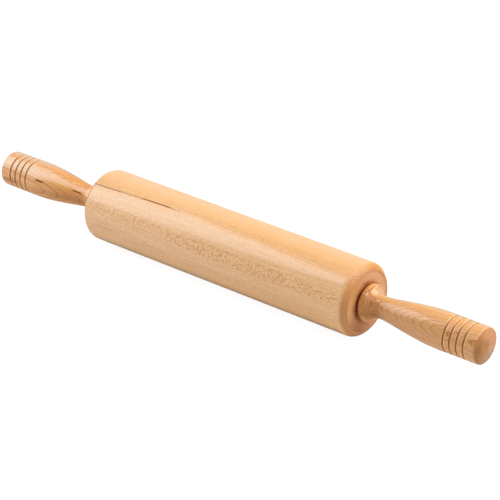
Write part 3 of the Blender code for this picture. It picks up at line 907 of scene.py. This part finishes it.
def right_neck(wood, colour, along):
    """The right handle's foot: painted shade near the barrel, darkest below, a painted shade that tones down
    its top, a painted highlight's pale arc where the cove meets the flange with a dark line beside it, two
    small painted glints, a painted highlight along the flange's lower edge, and a painted shade in a dark
    line beside the barrel."""
    foot = along - HANDLE_MM
    # Painted shade near the barrel
    colour = wood.tint(wood.smooth(foot, 25, 13), colour, wood.around(NECK_SHADE_TINTS))
    # Painted shade over the top of the foot, dimming its reflection
    top = wood.smooth(foot, 12, 3) * wood.smooth(wood.angle, 170, 90) * wood.smooth(wood.angle, 0, 40)
    colour = wood.tint(top * 0.8, colour, NECK_TOP_SHADE_TINT)
    # A painted highlight's pale arc where the cove meets the flange, and a dark line beside it
    from_bow = foot - 3.85 - (wood.angle - 63) * 0.036
    bowed = wood.facing(66, 110, 4)
    # Two painted glints: a dash and a small spot
    dash = wood.facing(119, 131, 2) * wood.band(foot, 3.9, 4.4, 0.2)
    spot = wood.streak(HANDLE_MM + 12.6, HANDLE_MM + 14.9, 125, 1.3, 0.4)
    # A painted highlight along the flange's lower edge
    low_edge = wood.band(foot, 3.2, 4.4, 0.3) * wood.lower(202, 10)
    # Painted shade in a dark line beside the barrel
    beside_barrel = wood.smooth(foot, 1.6, 0.5) * wood.facing(160, 206, 6)
    return wood.layers(
        colour,
        (wood.band(from_bow, -0.40, 0.40, 0.2) * bowed * 0.55, FOOT_HIGHLIGHT_CREAM),
        (wood.band(from_bow, 0.75, 1.15, 0.2) * bowed * 0.40, FOOT_BROWN),
        (dash * 0.70 + spot * 0.55, GLINT_CREAM),
        (low_edge * 0.3, LOW_FOOT_HIGHLIGHT_TAN),
        (beside_barrel * 0.8, GAP_SHADE_BROWN),
    )


def left_neck(wood, colour, along):
    """The left handle's foot, paler with a painted reflection, and a mottled painted highlight on its upper
    front.
    """
    # The collar's paler colour is a painted reflection
    collar = wood.smooth(along, HANDLE_MM + 17.9, HANDLE_MM + 16.9)
    # A painted highlight, broken into pale patches over the upper front
    broken_highlight = wood.grains(5, 1.5, 0.50, 0.66, (6, 3, 2), detail=3) * wood.smooth(along, 262, 250)
    return wood.layers(
        colour,
        (collar * (0.5 - wood.lower(142, 22) * 0.2), wood.around(COLLAR_REFLECTION_TONES)),
        (broken_highlight * wood.facing(98, 121, 6) * 0.5, MOTTLED_HIGHLIGHT_CREAM),
    )


def grooved(wood, colour, right, along):
    """The grooves: brown inside, which is partly cut grain and partly painted shade, faded over the top by a
    painted highlight, with painted highlights on their pale lips, a painted shadow in them near the upper
    outline, and with a smudge round them on the front. Returns the colour, the insides and the smudge."""
    first, pitch = MM * groove_places()[0], MM * GROOVE_PITCH
    place = (first - along) / pitch
    nearest = wood.math("MINIMUM", wood.greater(wood.math("ROUND", place), 0), GROOVE_COUNT - 1)
    away = (nearest - place) * pitch
    worn = wood.noise(wood.place, 0.9, 3) * 0.3 - 0.15
    inside = wood.smooth(abs(away) + worn, 0.50, 1.05, 1.0, 0.0)
    # Painted highlights on the grooves' lips, weaker on one lip over the front and underside
    inner_lip = wood.band(away - worn, -1.9, -1.1, 0.3) * (1 - wood.lower(122.5, 7.5) * 0.7)
    lips = wood.band(away + worn, 1.1, 1.9, 0.3) + inner_lip
    # The brown fades over the top, a painted highlight washing the grooves out
    highlight_wash = wood.facing(50, 124, 12) * (0.66 if right else 0.2)
    # A painted shadow in the grooves just below the upper outline
    nick_shadow = inside * wood.facing(46, 76, 6) * (0.5 if right else 0.3)
    smudge = wood.grains(1.6, 2.0, 0.54, 0.68, (1, 4, 2), detail=3)
    smudge = smudge * wood.band(along, first - 3.6 * pitch, first + 0.4, 0.8) * wood.facing(130, 176, 5)
    colour = wood.layers(
        colour,
        (lips * 0.45, LIP_HIGHLIGHT_CREAM),
        (inside * (1 - highlight_wash) * 0.92, GROOVE_GRAIN_AND_SHADE_BROWN),
        (nick_shadow, NICK_SHADOW_BROWN),
        (smudge * 0.55, SMUDGE_BROWN),
    )
    return colour, inside, smudge


def v_mark(wood, along):
    """Two dark lines that meet in a point, with a lighter brown between them."""
    point = TIP_MM - V_LENGTH
    from_line = abs(wood.angle - V_ANGLE) * V_MM_PER_DEGREE - (along - point) * V_OPENING
    lines = wood.smooth(abs(from_line), 0.15, 0.50, 1.0, 0.0)
    between = wood.smooth(from_line, 0.1, -0.2) * 0.4
    return (lines + between) * wood.smooth(along, point - 0.2, point + 0.8)


def handle_end(wood, colour, along, cap, skirt):
    """The eased edge, with a painted highlight above and brown below, and the flat end with painted light and
    shade by its angle and its streaks of cut fibres.
    """
    rim = wood.smooth(along, TIP_MM - 1.4, TIP_MM - 0.7) * wood.smooth(wood.radius, 14.6, 15.2)
    down, over = wood.across(CAP_STREAK_ANGLE)
    drawn_out = {0: down / CAP_STREAK_LENGTH, 1: over / CAP_STREAK_WIDTH, 2: 0.0}
    cut = wood.node("CombineXYZ", inputs=drawn_out)
    streaks = wood.smooth(wood.noise(cut, detail=2, roughness=0.6), 0.40, 0.60)
    # The end's colour by its angle holds painted light and shade
    cap_colour = wood.layers(
        wood.ramp((wood.angle - (FACING_ANGLE - 180)) / 360, CAP_TONES_AND_SHADE),
        (wood.smooth(wood.radius, 9.5, 2.5), CAP_MIDDLE_BROWN),
        (skirt * 0.20, CAP_RING_BROWN),
    )
    cap_colour = wood.tint(streaks * 0.46, cap_colour, CAP_STREAK_TINT)
    # A painted highlight on the upper side of the eased edge
    return wood.layers(
        colour,
        (rim * wood.lower(139, 11) * 0.55, RIM_BROWN),
        (rim * (1 - wood.lower(129, 9)) * 0.32, RIM_HIGHLIGHT_CREAM),
        (cap, cap_colour),
    )


def handle_maple(out):
    """Flat-sawn maple under clear lacquer, with growth rings in nested arches, brown in the grooves that is
    partly cut grain and partly painted shade, and painted highlights and shade on the feet, the grooves' lips
    and the ends. out is
    -1 for the left handle."""
    right = out > 0
    wood = Wood("handle_maple_right" if right else "handle_maple_left")
    along = wood.x * out
    rings = handle_rings(wood, right, along)
    way = wood.math("FRACT", rings)
    core, skirt = wood.ramp(way, RING_CORE_SHAPE), wood.ramp(way, RING_SKIRT_SHAPE)
    strength = wood.smooth(wood.line_noise(rings, 0.61, 2), 0.3, 0.7, 0.55, 1.0)
    strength = strength + wood.smooth(along, HANDLE_MM + 20, HANDLE_MM + 13) * 0.35
    fibre = wood.fibres()
    pore = wood.grains(2.0, 0.9, 0.44, 0.66, (2, 8, 4), detail=2, roughness=0.7)

    colour, arches = handle_tone(wood, right, along)
    shown = strength * arches
    colour = wood.mix(skirt * shown * 0.40, colour, RING_SKIRT_BROWN)
    colour = wood.mix(core * shown * 0.85, colour, RING_CORE_BROWN)
    colour = wood.tint(wood.smooth(fibre, 0.38, 0.64) * 0.30, colour, FIBRE_TINT)
    colour = wood.tint(pore * 0.26, colour, PORE_TINT)
    colour = wood.tint(1.0, colour, HANDLE_TINT)
    marked = 0
    if right:
        colour = right_neck(wood, colour, along)
    else:
        colour = left_neck(wood, colour, along)
        for *place, share in LEFT_MARKS:
            mark = wood.streak(*place) * share
            marked = mark + marked
            colour = wood.mix(mark, colour, MARK_BROWN)
    colour, inside, smudge = grooved(wood, colour, right, along)
    if right:
        colour = wood.mix(v_mark(wood, along) * 0.66, colour, V_BROWN)
    cap = wood.smooth(along, TIP_MM - 0.12, TIP_MM - 0.03)
    colour = handle_end(wood, colour, along, cap, skirt)

    height = fibre * 0.5 - core * 0.2 - smudge * 1.5
    dull = wood.greater(wood.greater(cap * 0.8, inside * 0.9), smudge * 0.5) + marked * 0.9
    under = wood.smooth(along, HANDLE_MM + 18, HANDLE_MM + 12) * wood.lower(189, 11)
    dull = wood.greater(dull, under * 0.8, clamp=True)
    lacquer = 0.80 if right else 1 - wood.lower(202, 14) * 0.65
    return wood.finish_off(
        colour, wood.smooth(fibre, 0.3, 0.7, 0.38, 0.46) + dull * 0.3, height, depth=0.00002,
        Specular_IOR_Level=0.3, Coat_Weight=(1 - dull) * lacquer, Coat_Roughness=0.04, IOR=1.5,
    )


# The hidden pieces' metals and nylon

def turned_metal(name, light, dark, roughness):
    """Bare metal off the lathe: fine rings round the axis, a little uneven, with dull smudges and faint
    pits."""
    metal = Finish(name)
    marks = metal.long_noise(0.12, 6, detail=2)
    smudge = metal.smooth(metal.noise(metal.place, 0.22, 3), 0.40, 0.66)
    pits = metal.smooth(metal.noise(metal.place, 2.6, 2), 0.66, 0.76)
    colour = metal.mix(smudge * 0.5 + pits * 0.4, light, dark)
    colour = metal.mix(metal.smooth(marks, 0.4, 0.62) * 0.2, colour, dark)
    dull = metal.smooth(marks, 0.3, 0.7, roughness, roughness + 0.10) + smudge * 0.12
    return metal.finish_off(colour, dull, marks - pits * 0.6, depth=0.00001, Metallic=1.0)


def moulded_nylon(name, light, dark):
    """Moulded nylon: a cloudy off-white or grey, a fine matt grain and a few rubbed, darker places."""
    nylon = Finish(name)
    cloud = nylon.noise(nylon.place, 0.3, 3)
    grain = nylon.noise(nylon.place, 5.0, 2)
    rubbed = nylon.grains(3, 5, 0.56, 0.72, (2, 6, 1), detail=3)
    colour = nylon.mix(nylon.smooth(cloud, 0.35, 0.65), light, dark)
    colour = nylon.mix(rubbed * 0.35, colour, tuple(0.6 * part for part in dark))
    dull = nylon.smooth(grain, 0.3, 0.7, 0.42, 0.56) - rubbed * 0.12
    return nylon.finish_off(colour, dull, grain + cloud * 0.5, depth=0.00002)


# Pieces

def dress(piece, material, body, *nodes, slot):
    """Gives a turned piece its finish, and puts it on a body in place of the nodes that it replaces."""
    piece.data.materials.append(material)
    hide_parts(*nodes)
    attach(piece, body)


barrel = turned("barrel_turned", barrel_outline(), BARREL_SIDES)
dress(barrel, barrel_maple(), "barrel", "barrel", slot="barrel_maple")
for side, out in (("right", 1), ("left", -1)):
    chipped = ragged_grooves(CHIP_SEED + out)
    handle = turned(f"handle_turned_{side}", handle_outline(), HANDLE_SIDES, out, chipped)
    dress(handle, handle_maple(out), "axle", f"handle_{side}", slot="handle_maple")

ground = turned_metal("ground_steel", (0.62, 0.62, 0.61), (0.40, 0.40, 0.41), 0.16)
drawn = turned_metal("drawn_steel", (0.56, 0.56, 0.55), (0.34, 0.34, 0.35), 0.26)
sprung = turned_metal("sprung_steel", (0.24, 0.24, 0.26), (0.11, 0.11, 0.13), 0.34)
brass = turned_metal("turned_brass", (0.80, 0.58, 0.24), (0.52, 0.34, 0.12), 0.22)
cage_grey = moulded_nylon("cage_nylon_grey", (0.30, 0.29, 0.27), (0.21, 0.20, 0.19))
spacer_pale = moulded_nylon("spacer_nylon_pale", (0.74, 0.71, 0.62), (0.60, 0.56, 0.46))
for start, finish in (
    ("axle_rod", drawn),
    ("bearing_outer", ground),
    ("bearing_inner", ground),
    ("bearing_shield", drawn),
    ("bearing_ball", ground),
    ("bearing_cage", cage_grey),
    ("axle_clip", sprung),
    ("handle_spacer", spacer_pale),
    ("threaded_insert", brass),
):
    for name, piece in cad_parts.items():
        if name.startswith(start):
            for place in piece.material_slots:
                place.material = finish


# Setting

def aim(name, data, back, distance, shift):
    """Adds a camera or a lamp that looks back along a direction at the pin's middle, from a distance, and is
    then moved to the right and upwards in its own plane."""
    right = Vector((-back.y, back.x, 0)).normalized()
    up = back.cross(right)
    place = Vector((0, 0, AXIS_HEIGHT)) + distance * back + shift[0] * right + shift[1] * up
    aimed = bpy.data.objects.new(name, data)
    aimed.matrix_world = Matrix.Translation(place) @ Matrix((right, up, back)).transposed().to_4x4()
    bpy.context.scene.collection.objects.link(aimed)
    return aimed


def add_camera():
    """Looks along the photograph's direction, a little to the side of the pin's middle."""
    azimuth, elevation = math.radians(CAMERA_AZIMUTH), math.radians(CAMERA_ELEVATION)
    level = math.cos(elevation)
    back = Vector((math.sin(azimuth) * level, -math.cos(azimuth) * level, math.sin(elevation)))
    lens = bpy.data.cameras.new("camera")
    lens.sensor_width = SENSOR_WIDTH
    lens.lens = FOCAL_PIXELS / PICTURE_PIXELS * SENSOR_WIDTH
    bpy.context.scene.camera = aim("camera", lens, back, CAMERA_DISTANCE, (AIM_RIGHT, AIM_UP))


def add_softbox(name, towards, distance, shift, size, brightness):
    """A flat panel of light. Brightness is how bright the panel itself looks, and 1 is white."""
    lamp = bpy.data.lights.new(name, "AREA")
    lamp.shape = "RECTANGLE"
    lamp.size, lamp.size_y = size
    lamp.energy = math.pi * size[0] * size[1] * brightness
    aim(name, lamp, Vector(towards).normalized(), distance, shift)


def add_floor():
    """A wide white sheet, which looks as white as the wall behind it and keeps a soft shadow."""
    half = FLOOR_WIDTH / 2
    corners = [(-half, -half, 0), (half, -half, 0), (half, half, 0), (-half, half, 0)]
    mesh = bpy.data.meshes.new("floor")
    mesh.from_pydata(corners, [], [(0, 1, 2, 3)])
    floor = bpy.data.objects.new("floor", mesh)
    bpy.context.scene.collection.objects.link(floor)
    sheet = Finish("floor_white")
    glossy = sheet.node("LightPath", output="Is Glossy Ray")
    sheet.fill(sheet.shader.inputs["Base Color"], sheet.mix(glossy, FLOOR_WHITE, FLOOR_REFLECTED))
    sheet.fill(sheet.shader.inputs["Roughness"], 0.9)
    sheet.fill(sheet.shader.inputs["Specular IOR Level"], 0.0)
    glow = sheet.node("Emission", inputs={"Color": (1, 1, 1, 1), "Strength": FLOOR_GLOW})
    share = sheet.node("LightPath", output="Is Camera Ray") * FLOOR_GLOW_SHARE
    both = sheet.node("MixShader", inputs={0: share, 1: Value(sheet, sheet.shader.outputs[0]), 2: glow})
    sheet.fill(sheet.tree.nodes["Material Output"].inputs["Surface"], both)
    mesh.materials.append(sheet.material)


def set_world(ambient):
    """An even pale room. It looks white by itself and lights the object at the ambient level."""
    world = bpy.data.worlds.new("room")
    world.use_nodes = True
    bpy.context.scene.world = world
    tree = world.node_tree
    path = tree.nodes.new("ShaderNodeLightPath")
    strength = tree.nodes.new("ShaderNodeMapRange")
    strength.inputs["To Min"].default_value = ambient
    strength.inputs["To Max"].default_value = 1.0
    tree.links.new(path.outputs["Is Camera Ray"], strength.inputs["Value"])
    tree.nodes["Background"].inputs["Color"].default_value = (1, 1, 1, 1)
    tree.links.new(strength.outputs[0], tree.nodes["Background"].inputs["Strength"])


add_camera()
add_floor()
set_world(AMBIENT)
for softbox in SOFTBOXES:
    add_softbox(*softbox)

bpy.context.scene.view_settings.view_transform = "Standard"
